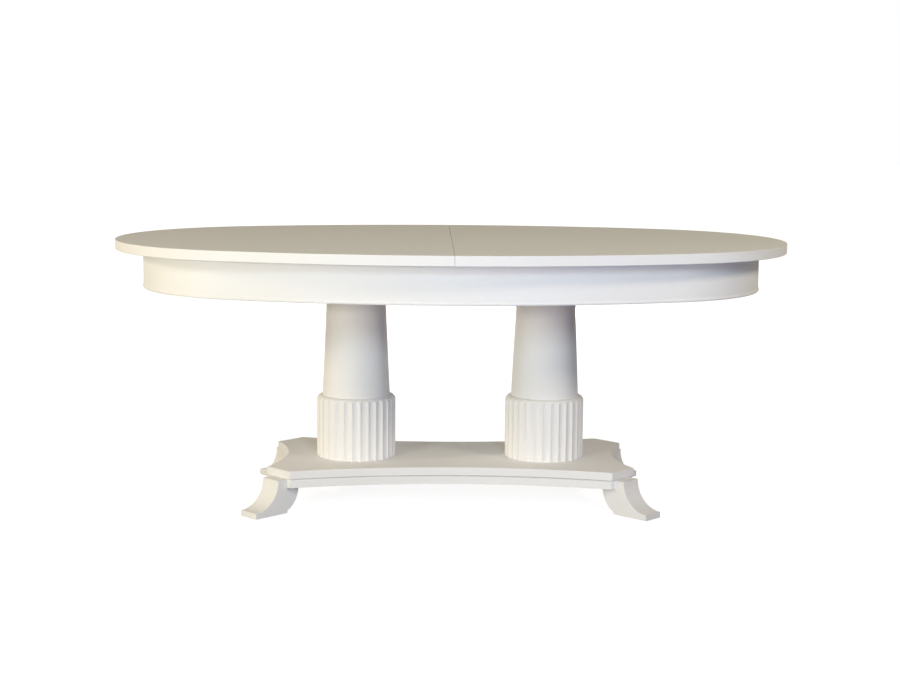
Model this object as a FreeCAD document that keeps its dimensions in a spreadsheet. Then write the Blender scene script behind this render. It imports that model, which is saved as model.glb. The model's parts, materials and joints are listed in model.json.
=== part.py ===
"""Oval double pedestal extension dining table, modelled piece by piece in millimetres.

+X runs along the table to the right, +Y to the back and +Z up. The origin is the point of the
floor under the middle of the closed table.

The base does not divide: a plinth on four feet carries two columns, the columns carry bearers,
and the bearers carry a fixed oval apron. The top is cut in two halves, which slide apart over
the apron on grooved runners. A rack under each runner meshes with a pinion, so that both halves
always move by the same amount.

The table looks the same after half a turn about the vertical. So the front and left pieces are
drawn, and the back and right ones are the same pieces turned half round.
"""

import FreeCAD, Part
import math
import operator
import os
from types import SimpleNamespace

import Sketcher
from FreeCAD import Placement, Rotation, Vector

SIZES = {
    # Top
    "table_height": 762,
    "top_length": 1932,
    "top_width": 1158,
    "top_thick": 28,
    "side_swell": 86,
    "top_edge_round": 2,
    "seam_gap": 0.8,
    "seam_ease": 0.6,
    "leaf_opening": 508,
    "top_clearance": 3,
    # Apron
    "apron_overhang": 78,
    "apron_depth": 107,
    "apron_thick": 24,
    "bead_depth": 9,
    "bead_proud": 2.2,
    "splice_reach": 65,
    "splice_thick": 26,
    "splice_margin": 16,
    "button_radius": 8,
    "button_clearance": 0.3,
    "button_inner_x": 160,
    "button_outer_x": 420,
    "button_end_y": 150,
    # Columns
    "column_spacing": 553,
    "shaft_foot_radius": 98.5,
    "shaft_head_radius": 83.7,
    "drum_radius": 115,
    "drum_height": 180,
    "drum_shoulder": 15,
    "flute_count": 30,
    "flute_radius": 18,
    "flute_depth": 4,
    "flute_turn_left": 8,
    "flute_turn_right": 5.5,
    "column_bore": 30,
    "spigot_radius": 70,
    "spigot_length": 30,
    "spigot_clearance": 0.2,
    # Tie rods
    "rod_radius": 6,
    "rod_clearance": 1,
    "rod_end": 3,
    "rod_nose": 1.5,
    "thread_clearance": 0.05,
    "nut_radius": 11,
    "nut_height": 10,
    "nut_face_count": 6,
    "washer_radius": 18,
    "washer_thick": 3,
    "nut_recess_clearance": 3,
    # Plinth
    "plinth_length": 1045,
    "plinth_width": 502,
    "ear_cut": 69.5,
    "side_hollow": 64,
    "end_hollow": 44,
    "upper_board_thick": 25,
    "lower_board_thick": 24,
    "board_step": 5,
    "board_ease": 1.5,
    "board_shadow_line": 3,
    "plinth_clearance": 75.5,
    # Feet
    "foot_width": 66,
    "foot_block": 28,
    "foot_reach": 109,
    "toe_height": 18.5,
    "heel_setback": 5.5,
    "heel_height": 8,
    "instep_reach": 47.5,
    "foot_ease": 1.5,
    "floor_glide_radius": 13,
    "floor_glide_proud": 2,
    "floor_glide_sunk": 3,
    "floor_glide_nose": 1,
    "dowel_radius": 5,
    "dowel_length": 36,
    "dowel_nose": 1,
    "dowel_fit": 0.05,
    "dowel_inset": 14,
    "dowel_pitch": 18,
    # Bearers
    "bearer_thick": 24,
    "cross_bearer_width": 120,
    "spine_width": 110,
    "lap_clearance": 0.2,
    "slide_offset": 190,
    "slide_bearer_length": 940,
    # Runners and cleats
    "runner_thick": 26,
    "runner_depth": 50,
    "runner_gap": 0.8,
    "runner_end_margin": 50,
    "runner_overrun": 36,
    "tongue_depth": 8,
    "tongue_height": 12,
    "tongue_clearance": 0.4,
    "peg_radius": 5,
    "peg_nose": 1,
    "peg_margin": 12,
    "peg_fit": 0.05,
    "stop_clearance": 0.5,
    "cleat_thick": 20,
    "cleat_width": 60,
    "cleat_inner_x": 95,
    "cleat_end_margin": 5,
    "cleat_overrun": 16,
    "cleat_clearance": 2,
    # Equalizer gear
    "gear_module": 2.5,
    "pinion_teeth": 12,
    "pressure_angle": 25,
    "gear_backlash": 0.6,
    "root_clearance": 0.625,
    "rack_depth": 9,
    "rack_back": 7,
    "rack_clearance": 3,
    "rack_side_gap": 0.5,
    "rack_spare_teeth": 2,
    "pinion_side_gap": 3.5,
    "pinion_head_gap": 1,
    "pinion_seat_gap": 0.3,
    "pinion_bore_clearance": 0.1,
    "stud_radius": 4,
    "stud_hold": 20,
    "stud_collar": 7,
    "strap_length": 90,
    "strap_thick": 3,
    # Seam pins
    "pin_radius": 5,
    "pin_hold": 20,
    "pin_reach": 15,
    "pin_nose": 2,
    "pin_inner_y": 120,
    "pin_edge_margin": 179,
    "pin_fit": 0.05,
    "socket_clearance": 0.4,
    # Table locks
    "lock_room_share": 0.367,
    "lock_pivot_x": 40,
    "lock_arm": 65,
    "lock_plate_length": 56,
    "lock_plate_width": 34,
    "lock_plate_thick": 3,
    "keeper_length": 34,
    "lock_stud_radius": 4,
    "lock_stud_clearance": 0.1,
    "lock_head_radius": 8,
    "lock_head_thick": 2.5,
    "rivet_fit": 0.05,
    "lever_thick": 5,
    "lever_gap": 0.5,
    "lever_hub_radius": 14,
    "lever_back_width": 14,
    "lever_front_width": 9,
    "lever_tail": 34,
    "hook_wall": 11,
    "hook_clearance": 0.8,
    "hook_overrun": 3,
    "tab_thick": 4,
    "tab_drop": 14,
}

EIGHTH_TURN = 45
QUARTER_TURN = 90
HALF_TURN = 180
FULL_TURN = 360
DRAWN_AND_TURNED = {"left": 0, "right": HALF_TURN}
FLANK_POINTS = 5
TOUCHING = 1e-6
OPERATIONS = {"+": operator.add, "-": operator.sub, "*": operator.mul, "/": operator.truediv}


class Size:
    """A number that keeps the spreadsheet formula it comes from."""

    def __init__(self, value, formula):
        self.value = float(value)
        self.formula = formula

    def joined(self, sign, other, swapped=False):
        """Works out this size and another one, and writes the formula beside the value."""
        other = as_size(other)
        left, right = (other, self) if swapped else (self, other)
        return Size(OPERATIONS[sign](left.value, right.value), f"({left.formula} {sign} {right.formula})")

    def __add__(self, other):
        return self.joined("+", other)

    def __radd__(self, other):
        return self.joined("+", other, swapped=True)

    def __sub__(self, other):
        return self.joined("-", other)

    def __rsub__(self, other):
        return self.joined("-", other, swapped=True)

    def __mul__(self, other):
        return self.joined("*", other)

    def __rmul__(self, other):
        return self.joined("*", other, swapped=True)

    def __truediv__(self, other):
        return self.joined("/", other)

    def __rtruediv__(self, other):
        return self.joined("/", other, swapped=True)

    def __neg__(self):
        return Size(-self.value, f"(-{self.formula})")


def as_size(number):
    """A size as it is, or a plain number as a size."""
    return number if isinstance(number, Size) else Size(number, str(number))


def root(size):
    """The square root of a size."""
    return Size(math.sqrt(size.value), f"sqrt({size.formula})")


def whole_up(size):
    """A size rounded up to a whole number."""
    return Size(math.ceil(size.value), f"ceil({size.formula})")


def tangent(angle):
    """The tangent of an angle in degrees."""
    return Size(math.tan(math.radians(angle.value)), f"tan({angle.formula})")


def arc_sine(share):
    """The angle in degrees that has this sine."""
    return Size(math.degrees(math.asin(share.value)), f"asin({share.formula})")


def leg(long_side, other_leg):
    """The second leg of a right triangle, from its long side and its first leg."""
    return root(long_side * long_side - other_leg * other_leg)


doc = FreeCAD.newDocument("dining_table")
sheet = doc.addObject("Spreadsheet::Sheet", "sizes")
for row, (alias, number) in enumerate(SIZES.items(), start=1):
    sheet.set(f"A{row}", alias)
    sheet.set(f"B{row}", str(number))
    sheet.setAlias(f"B{row}", alias)
doc.recompute()
S = SimpleNamespace(**{alias: Size(number, f"sizes.{alias}") for alias, number in SIZES.items()})
PIECES = []

# Oval of the top: two end arcs and two side arcs that run into each other
half_width = S.top_width / 2
end_radius = half_width - S.side_swell
end_centre = S.top_length / 2 - end_radius
side_rise = half_width * half_width - end_radius * end_radius
side_radius = (end_centre * end_centre + side_rise) / (2 * S.side_swell)
side_centre = side_radius - half_width
centre_distance = side_radius - end_radius
meet_x = end_centre / centre_distance
meet_y = side_centre / centre_distance
apron_outside = S.apron_overhang
apron_inside = S.apron_overhang + S.apron_thick

# Heights, from the top down and from the floor up
underside = S.table_height - S.top_thick
apron_top = underside - S.top_clearance
apron_bottom = apron_top - S.apron_depth
cleat_bottom = underside - S.cleat_thick
runner_bottom = cleat_bottom - S.runner_depth
rack_bottom = runner_bottom - S.rack_depth
bearer_top = rack_bottom - S.rack_clearance
column_top = bearer_top - S.bearer_thick
lower_board_top = S.plinth_clearance + S.lower_board_thick
plinth_top = lower_board_top + S.upper_board_thick
drum_top = plinth_top + S.drum_height

# Slides, measured across from the middle of a fixed slide bearer
travel = S.leaf_opening / 2
tooth_pitch = math.pi * S.gear_module
pitch_radius = S.gear_module * S.pinion_teeth / 2
tip_radius = pitch_radius + S.gear_module
rack_tips = pitch_radius - S.gear_module
rack_roots = pitch_radius + S.gear_module + S.root_clearance
slide_bearer_half = rack_tips - S.rack_side_gap
runner_face = slide_bearer_half + S.runner_gap
runner_back = runner_face + S.runner_thick
runner_reach = S.slide_bearer_length / 2 + S.runner_end_margin
tongue_middle = S.runner_depth / 2

column_x = S.column_spacing / 2
rod_hole = S.rod_radius + S.rod_clearance
nut_recess_radius = S.washer_radius + S.nut_recess_clearance
nut_recess_depth = S.nut_height + S.washer_thick + S.nut_recess_clearance
foot_glide_x = (S.foot_reach - S.heel_setback) / 2
pin_places = (S.pin_inner_y, half_width - S.pin_edge_margin)
cleat_end = S.slide_offset + runner_back + S.cleat_overrun
lock_offset = cleat_end + S.lock_room_share * (half_width - apron_inside - cleat_end)
lever_top = S.lock_plate_thick + S.lever_gap
lever_bottom = lever_top + S.lever_thick
lock_stud_end = lever_bottom + S.lever_gap


def tie(thing, path, size):
    """Binds a property or a constraint to the spreadsheet."""
    thing.setExpression(path, as_size(size).formula)


def place(thing, x=0, y=0, z=0, turn=0):
    """Puts a piece at its place, turned about the vertical."""
    across = {"x": as_size(x), "y": as_size(y), "z": as_size(z)}
    base = Vector(*(size.value for size in across.values()))
    thing.Placement = Placement(base, Rotation(Vector(0, 0, 1), turn))
    for axis, size in across.items():
        tie(thing, f"Placement.Base.{axis}", size)


def new_body(name):
    """An empty body, which is a piece of its own or one of a group."""
    body = doc.addObject("PartDesign::Body", name)
    body.Label = name
    return body


def piece(name):
    """An empty body for a piece with a file of its own."""
    body = new_body(name)
    PIECES.append(body)
    return body


def group(name, members):
    """Several like solids that share one file."""
    compound = doc.addObject("Part::Compound", name)
    compound.Label = name
    compound.Links = members
    PIECES.append(compound)


def origin_of(body, role):
    """The plane or axis of a body's own origin that has this role."""
    return next(item for item in body.Origin.OriginFeatures if item.Role == role)


class Arc:
    """A round stretch of an outline, which ends at a point and turns about a centre."""

    def __init__(self, end, centre, radius, clockwise=False):
        self.end = end
        self.centre = centre
        self.radius = radius
        self.clockwise = clockwise


class Outline:
    """A sketch on one of a body's own planes, with every point and radius tied to the sizes."""

    def __init__(self, body, plane, lift=0):
        self.body = body
        self.sketch = body.newObject("Sketcher::SketchObject", f"{body.Name}_sketch")
        self.sketch.AttachmentSupport = [(origin_of(body, plane), "")]
        self.sketch.MapMode = "FlatFace"
        tie(self.sketch, "AttachmentOffset.Base.z", lift)

    def fix(self, kind, element, size):
        """Adds one constraint with a value and ties it to the sizes."""
        size = as_size(size)
        index = self.sketch.addConstraint(Sketcher.Constraint(kind, *element, size.value))
        tie(self.sketch, f"Constraints[{index}]", size)

    def pin(self, geometry, end, point):
        """Fixes the two coordinates of a point."""
        self.fix("DistanceX", (geometry, end), point[0])
        self.fix("DistanceY", (geometry, end), point[1])

    def draw(self, start, *steps):
        """Draws a closed outline: each step is a corner or an arc, and a line closes it."""
        here = start
        ends = []
        closed = isinstance(steps[-1], Arc) and steps[-1].end is start
        for step in steps if closed else (*steps, start):
            there = step.end if isinstance(step, Arc) else step
            first, last = (spot(here), spot(there))
            if isinstance(step, Arc):
                index = self.sketch.addGeometry(arc_between(first, last, step), False)
                self.fix("Radius", (index,), step.radius)
                ends.append((index, 2, 1) if step.clockwise else (index, 1, 2))
            else:
                index = self.sketch.addGeometry(Part.LineSegment(first, last), False)
                ends.append((index, 1, 2))
            self.pin(index, ends[-1][1], here)
            here = there
        for this, following in zip(ends, ends[1:] + ends[:1]):
            self.sketch.addConstraint(
                Sketcher.Constraint("Coincident", this[0], this[2], following[0], following[1])
            )
        return self

    def rectangle(self, x_low, y_low, x_high, y_high):
        """Draws a rectangle between two corners."""
        return self.draw((x_low, y_low), (x_high, y_low), (x_high, y_high), (x_low, y_high))

    def circle(self, x, y, radius):
        """Draws one circle."""
        ring = Part.Circle(spot((x, y)), Vector(0, 0, 1), radius.value)
        index = self.sketch.addGeometry(ring, False)
        self.pin(index, 3, (x, y))
        self.fix("Radius", (index,), radius)
        return self

    def pad(self, length, down=False, both_ways=False):
        """Raises the outline into a solid."""
        feature = self.body.newObject("PartDesign::Pad", f"{self.body.Name}_pad")
        feature.Profile = self.sketch
        feature.Reversed = down
        feature.Midplane = both_ways
        tie(feature, "Length", length)
        return feature

    def pocket(self, depth, up=False):
        """Cuts the outline out of the solid, and makes sure that it cut."""
        doc.recompute()
        before = self.body.Shape.Volume
        feature = self.body.newObject("PartDesign::Pocket", f"{self.body.Name}_pocket")
        feature.Profile = self.sketch
        feature.Reversed = up
        tie(feature, "Length", depth)
        doc.recompute()
        if self.body.Shape.Volume >= before:
            raise RuntimeError(f"{self.body.Name}: a pocket cuts nothing")
        return feature

    def revolve(self, angle=FULL_TURN):
        """Turns the outline about the sketch's upright axis, evenly to both sides."""
        feature = self.body.newObject("PartDesign::Revolution", f"{self.body.Name}_turned")
        feature.Profile = self.sketch
        feature.ReferenceAxis = (self.sketch, ["V_Axis"])
        feature.Midplane = True
        tie(feature, "Angle", angle)
        return feature


def spot(point):
    """A point of an outline as a vector."""
    return Vector(as_size(point[0]).value, as_size(point[1]).value, 0)


def arc_between(first, last, step):
    """The circular arc from one point to another about the step's centre."""
    centre = spot(step.centre)
    ring = Part.Circle(centre, Vector(0, 0, 1), as_size(step.radius).value)
    begin, end = (last, first) if step.clockwise else (first, last)
    angles = [math.atan2(point.y - centre.y, point.x - centre.x) for point in (begin, end)]
    return Part.ArcOfCircle(ring, *angles)


def ease(body, radius, chosen):
    """Rounds the edges of a body that the test chooses."""
    doc.recompute()
    solid = body.Tip
    names = [f"Edge{n}" for n, edge in enumerate(solid.Shape.Edges, start=1) if chosen(edge)]
    fillet = body.newObject("PartDesign::Fillet", f"{body.Name}_ease")
    fillet.Base = (solid, names)
    tie(fillet, "Radius", radius)


def chamfer(body, width, chosen):
    """Cuts the edges of a body that the test chooses at a slant."""
    doc.recompute()
    solid = body.Tip
    names = [f"Edge{n}" for n, edge in enumerate(solid.Shape.Edges, start=1) if chosen(edge)]
    slant = body.newObject("PartDesign::Chamfer", f"{body.Name}_chamfer")
    slant.Base = (solid, names)
    tie(slant, "Size", width)


def repeat(body, feature, kind, reference, count, **spacing):
    """Repeats a feature of a body along or about one of the body's own axes."""
    pattern = body.newObject(f"PartDesign::{kind}", f"{body.Name}_pattern")
    pattern.Originals = [feature]
    setattr(pattern, reference, (origin_of(body, spacing.pop("axis")), [""]))
    for path, size in spacing.items():
        tie(pattern, path, size)
    tie(pattern, "Occurrences", count)
    body.Tip = pattern


def level(edge, height):
    """Whether an edge lies at one height."""
    box = edge.BoundBox
    return abs(box.ZMin - height.value) < TOUCHING and abs(box.ZMax - height.value) < TOUCHING


def oval_meeting(inset):
    """The point, right and back, where the end and side arcs meet on an oval inside the rim."""
    reach = end_radius - inset
    return end_centre + reach * meet_x, reach * meet_y


def side_y(inset, x):
    """How far back the side arc of an oval inside the rim lies at x."""
    return leg(side_radius - inset, x) - side_centre


def end_x(inset, y):
    """How far right the end arc of an oval inside the rim lies at y."""
    return end_centre + leg(end_radius - inset, y)


def plinth_board(name, bottom, thick, step):
    """A board with hollowed sides between four cut-off ears, set in by a step."""
    board = piece(name)
    length = S.plinth_length / 2 - step
    width = S.plinth_width / 2 - step
    cut = S.ear_cut - step * (2 - math.sqrt(2))
    front_x = length - cut
    end_y = width - cut
    side_curve = (front_x * front_x + S.side_hollow * S.side_hollow) / (2 * S.side_hollow)
    end_curve = (end_y * end_y + S.end_hollow * S.end_hollow) / (2 * S.end_hollow)
    side_middle = width - S.side_hollow + side_curve
    end_middle = length - S.end_hollow + end_curve
    Outline(board, "XY_Plane").draw(
        (-front_x, -width),
        Arc((front_x, -width), (0, -side_middle), side_curve, clockwise=True),
        (length, -end_y),
        Arc((length, end_y), (end_middle, 0), end_curve, clockwise=True),
        (front_x, width),
        Arc((-front_x, width), (0, side_middle), side_curve, clockwise=True),
        (-length, end_y),
        Arc((-length, -end_y), (-end_middle, 0), end_curve, clockwise=True),
    ).pad(thick)
    rods = Outline(board, "XY_Plane", thick)
    rods.circle(column_x, 0, rod_hole)
    rods.circle(-column_x, 0, rod_hole)
    rods.pocket(thick)
    place(board, z=bottom)
    return board


def ear_places():
    """The names of the four ears, the middle of each cut and the way that it faces."""
    x = S.plinth_length / 2 - S.ear_cut / 2
    y = S.plinth_width / 2 - S.ear_cut / 2
    return (
        ("front_left", -x, -y, -EIGHTH_TURN - QUARTER_TURN),
        ("front_right", x, -y, -EIGHTH_TURN),
        ("back_right", x, y, EIGHTH_TURN),
        ("back_left", -x, y, EIGHTH_TURN + QUARTER_TURN),
    )


def dowel_places():
    """How far inside the ear the two dowels of a foot stand."""
    return (-S.dowel_inset, -(S.dowel_inset + S.dowel_pitch))


def plinth():
    """The two boards of the plinth, with the lower one set back under the upper one."""
    upper = plinth_board("plinth_upper_board", lower_board_top, S.upper_board_thick, as_size(0))
    chamfer(upper, S.board_ease, lambda edge: on_rim(edge, S.upper_board_thick))
    chamfer(upper, S.board_shadow_line, lambda edge: on_rim(edge, as_size(0)))
    lower = plinth_board("plinth_lower_board", S.plinth_clearance, S.lower_board_thick, S.board_step)
    recess = Outline(lower, "XY_Plane")
    recess.circle(column_x, 0, nut_recess_radius)
    recess.circle(-column_x, 0, nut_recess_radius)
    recess.pocket(nut_recess_depth, up=True)
    holes = Outline(lower, "XY_Plane")
    for _, x, y, _ in ear_places():
        for inward in dowel_places():
            share = -inward / math.sqrt(2)
            along = x - share if x.value > 0 else x + share
            across = y - share if y.value > 0 else y + share
            holes.circle(along, across, S.dowel_radius + S.dowel_fit)
    holes.pocket(S.dowel_length / 2, up=True)


def on_rim(edge, height):
    """Whether an edge runs round a board at this height, and not round a rod."""
    return level(edge, height) and not on_radius(edge, rod_hole)


def foot(name, x, y, turn):
    """A sabre foot, rebated under the plinth, that sweeps out along the diagonal of its ear."""
    body = piece(name)
    top = lower_board_top
    fall = top - S.toe_height
    run = S.foot_reach - S.foot_block
    front_curve = (run * run + fall * fall) / (2 * run)
    rise = S.plinth_clearance - S.heel_height
    back_run = S.instep_reach - S.heel_setback
    back_curve = (back_run * back_run + rise * rise) / (2 * back_run)
    Outline(body, "XZ_Plane").draw(
        (-S.board_step, S.plinth_clearance),
        (-S.board_step, top),
        (S.foot_block, top),
        Arc((S.foot_reach, S.toe_height), (S.foot_block + front_curve, top), front_curve),
        (S.foot_reach, S.floor_glide_proud),
        (-S.heel_setback, S.floor_glide_proud),
        (-S.heel_setback, S.heel_height),
        Arc(
            (-S.instep_reach, S.plinth_clearance),
            (back_curve - S.instep_reach, S.plinth_clearance),
            back_curve,
            clockwise=True,
        ),
    ).pad(S.foot_width, both_ways=True)
    Outline(body, "XY_Plane", S.floor_glide_proud).circle(
        foot_glide_x, 0, S.floor_glide_radius + S.dowel_fit
    ).pocket(S.floor_glide_sunk, up=True)
    holes = Outline(body, "XY_Plane", S.plinth_clearance)
    for inward in dowel_places():
        holes.circle(inward, 0, S.dowel_radius + S.dowel_fit)
    holes.pocket(S.dowel_length / 2)
    ease(body, S.foot_ease, on_foot_side)
    place(body, x, y, turn=turn)


def on_foot_side(edge):
    """Whether an edge of a foot is one of the long edges of its two curved faces or its toe."""
    box = edge.BoundBox
    flat = abs(box.YMax - box.YMin) < TOUCHING
    side = flat and abs(abs(box.YMin) - S.foot_width.value / 2) < TOUCHING
    outside = box.XMin >= S.foot_block.value - TOUCHING
    curved = isinstance(edge.Curve, Part.Circle)
    return side and (outside or curved)


def turned_peg(name, radius, length, nose):
    """A round peg along +Z with both ends eased by a small cone."""
    peg = new_body(name)
    Outline(peg, "XZ_Plane").draw(
        (0, 0),
        (radius - nose, 0),
        (radius, nose),
        (radius, length - nose),
        (radius - nose, length),
        (0, length),
    ).revolve()
    return peg


def feet():
    """The four feet with their dowels and floor glides."""
    dowels = []
    glides = []
    for name, x, y, turn in ear_places():
        foot(f"foot_{name}", x, y, turn)
        outward = Rotation(Vector(0, 0, 1), turn).multVec(Vector(1, 0, 0))
        for number, inward in enumerate(dowel_places(), start=1):
            dowel = turned_peg(f"dowel_{name}_{number}", S.dowel_radius, S.dowel_length, S.dowel_nose)
            along = x + inward * outward.x
            across = y + inward * outward.y
            place(dowel, along, across, S.plinth_clearance - S.dowel_length / 2)
            dowels.append(dowel)
        glide = turned_peg(
            f"glide_{name}",
            S.floor_glide_radius,
            S.floor_glide_proud + S.floor_glide_sunk,
            S.floor_glide_nose,
        )
        place(glide, x + foot_glide_x * outward.x, y + foot_glide_x * outward.y)
        glides.append(glide)
    group("foot_dowels", dowels)
    group("floor_glides", glides)


def fluted_drum(name, x, turn):
    """The drum under a column, with flutes that run out in its rounded shoulder."""
    drum = piece(name)
    shoulder = S.drum_radius - S.drum_shoulder
    socket = S.spigot_radius + S.spigot_clearance
    socket_floor = S.drum_height - S.spigot_length - S.spigot_clearance
    Outline(drum, "XZ_Plane").draw(
        (S.column_bore, 0),
        (S.drum_radius, 0),
        (S.drum_radius, S.drum_height - S.drum_shoulder),
        Arc((shoulder, S.drum_height), (shoulder, S.drum_height - S.drum_shoulder), S.drum_shoulder),
        (socket, S.drum_height),
        (socket, socket_floor),
        (S.column_bore, socket_floor),
    ).revolve()
    cutter_x = S.drum_radius + S.flute_radius - S.flute_depth
    flute = Outline(drum, "XY_Plane").circle(cutter_x, 0, S.flute_radius).pocket(S.drum_height, up=True)
    repeat(drum, flute, "PolarPattern", "Axis", S.flute_count, axis="Z_Axis")
    place(drum, x, z=plinth_top, turn=turn.value)


def column_shaft(name, x):
    """A tapered column with a spigot that stands in the drum."""
    shaft = piece(name)
    height = column_top - drum_top
    Outline(shaft, "XZ_Plane").draw(
        (S.column_bore, -S.spigot_length),
        (S.spigot_radius, -S.spigot_length),
        (S.spigot_radius, 0),
        (S.shaft_foot_radius, 0),
        (S.shaft_head_radius, height),
        (S.column_bore, height),
    ).revolve()
    place(shaft, x, z=drum_top)


def ring(name, radius, bore, height):
    """A plain round disc with a hole."""
    washer = new_body(name)
    Outline(washer, "XZ_Plane").rectangle(bore, 0, radius, height).revolve()
    return washer


def hexagon_nut(name):
    """A hexagon nut with a plain bore."""
    block = doc.addObject("Part::Prism", f"{name}_block")
    tie(block, "Polygon", S.nut_face_count)
    tie(block, "Circumradius", S.nut_radius)
    tie(block, "Height", S.nut_height)
    bore = doc.addObject("Part::Cylinder", f"{name}_bore")
    tie(bore, "Radius", S.rod_radius + S.thread_clearance)
    tie(bore, "Height", S.nut_height)
    nut = doc.addObject("Part::Cut", name)
    nut.Base = block
    nut.Tool = bore
    return nut


def tie_rods():
    """The rods that clamp bearers, columns and plinth, with a nut and washer at each end."""
    low_washer = S.plinth_clearance + nut_recess_depth - S.washer_thick
    low_nut = low_washer - S.nut_height
    high_washer = bearer_top
    high_nut = high_washer + S.washer_thick
    rods = []
    nuts = []
    washers = []
    for side, x in (("left", -column_x), ("right", column_x)):
        rod = turned_peg(
            f"rod_{side}",
            S.rod_radius,
            high_nut + S.nut_height + S.rod_end - low_nut,
            S.rod_nose,
        )
        place(rod, x, z=low_nut)
        rods.append(rod)
        for end, nut_z, washer_z in (("low", low_nut, low_washer), ("high", high_nut, high_washer)):
            nut = hexagon_nut(f"nut_{side}_{end}")
            place(nut, x, z=nut_z)
            nuts.append(nut)
            washer = ring(
                f"washer_{side}_{end}", S.washer_radius, S.rod_radius + S.thread_clearance, S.washer_thick
            )
            place(washer, x, z=washer_z)
            washers.append(washer)
    group("tie_rods", rods)
    group("tie_rod_nuts", nuts)
    group("tie_rod_washers", washers)


def bearers():
    """Two cross bearers on the columns, halved into one spine, all scribed to the apron."""
    scribe = apron_inside + S.lap_clearance
    half_thick = S.bearer_thick / 2
    near = column_x - S.cross_bearer_width / 2
    far = column_x + S.cross_bearer_width / 2
    near_y = side_y(scribe, near)
    far_y = side_y(scribe, far)
    side_curve = side_radius - scribe
    lap = S.spine_width / 2 + S.lap_clearance
    for side, turn in DRAWN_AND_TURNED.items():
        bearer = piece(f"cross_bearer_{side}")
        Outline(bearer, "XY_Plane").draw(
            (-far, -far_y),
            Arc((-near, -near_y), (0, side_centre), side_curve),
            (-near, near_y),
            Arc((-far, far_y), (0, -side_centre), side_curve),
        ).pad(S.bearer_thick)
        Outline(bearer, "XY_Plane", S.bearer_thick).rectangle(-far, -lap, -near, lap).pocket(half_thick)
        Outline(bearer, "XY_Plane", half_thick).circle(-column_x, 0, rod_hole).pocket(half_thick)
        place(bearer, z=column_top, turn=turn)

    spine = piece("spine_bearer")
    half = S.spine_width / 2
    tip = end_x(scribe, half)
    end_curve = end_radius - scribe
    start = (-tip, -half)
    Outline(spine, "XY_Plane").draw(
        start,
        (tip, -half),
        Arc((tip, half), (end_centre, 0), end_curve),
        (-tip, half),
        Arc(start, (-end_centre, 0), end_curve),
    ).pad(S.bearer_thick)
    for low, high in ((-far, -near), (near, far)):
        Outline(spine, "XY_Plane").rectangle(
            low - S.lap_clearance, -half, high + S.lap_clearance, half
        ).pocket(half_thick, up=True)
    rods = Outline(spine, "XY_Plane", S.bearer_thick)
    rods.circle(-column_x, 0, rod_hole)
    rods.circle(column_x, 0, rod_hole)
    rods.pocket(half_thick)
    place(spine, z=column_top)


def bent_strip(name, outside, inside, depth, bottom, end, turn):
    """A strip bent along one side or one end of the oval, between two insets from the rim."""
    strip = piece(name)
    if end:
        centre = (-end_centre, 0)
        outer, inner = (end_radius - inset for inset in (outside, inside))
        first = (-meet_x, meet_y)
        last = (-meet_x, -meet_y)
    else:
        centre = (0, side_centre)
        outer, inner = (side_radius - inset for inset in (outside, inside))
        first = (-meet_x, -meet_y)
        last = (meet_x, -meet_y)
    outer_first, outer_last, inner_first, inner_last = (
        (centre[0] + radius * way[0], centre[1] + radius * way[1])
        for radius in (outer, inner)
        for way in (first, last)
    )
    Outline(strip, "XY_Plane").draw(
        outer_first,
        Arc(outer_last, centre, outer),
        inner_last,
        Arc(inner_first, centre, inner, clockwise=True),
    ).pad(depth)
    place(strip, z=bottom, turn=turn)


def bent_bead(name, radius, half_angle, x, y, turn):
    """A low round bead that runs along the face of one length of the apron."""
    bead = piece(name)
    half_depth = S.bead_depth / 2
    crown = (half_depth * half_depth + S.bead_proud * S.bead_proud) / (2 * S.bead_proud)
    Outline(bead, "XZ_Plane").draw(
        (radius, 0),
        Arc((radius, S.bead_depth), (radius + S.bead_proud - crown, half_depth), crown),
    ).revolve(2 * half_angle)
    place(bead, x, y, apron_bottom, turn)


def apron():
    """The four bent lengths of the apron with the bead along their lower edge."""
    side_face = side_radius - apron_outside
    end_face = end_radius - apron_outside
    side_angle = arc_sine(meet_x)
    end_angle = arc_sine(meet_y)
    strips = (
        ("front", False, 0, (side_face, side_angle, 0, side_centre, -QUARTER_TURN)),
        ("back", False, HALF_TURN, (side_face, side_angle, 0, -side_centre, QUARTER_TURN)),
        ("left_end", True, 0, (end_face, end_angle, -end_centre, 0, HALF_TURN)),
        ("right_end", True, HALF_TURN, (end_face, end_angle, end_centre, 0, 0)),
    )
    for name, end, turn, bead in strips:
        bent_strip(f"apron_{name}", apron_outside, apron_inside, S.apron_depth, apron_bottom, end, turn)
        bent_bead(f"apron_bead_{name}", *bead)


def on_radius(edge, radius):
    """Whether an edge is a round one of this radius."""
    return isinstance(edge.Curve, Part.Circle) and abs(edge.Curve.Radius - radius.value) < TOUCHING


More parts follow.
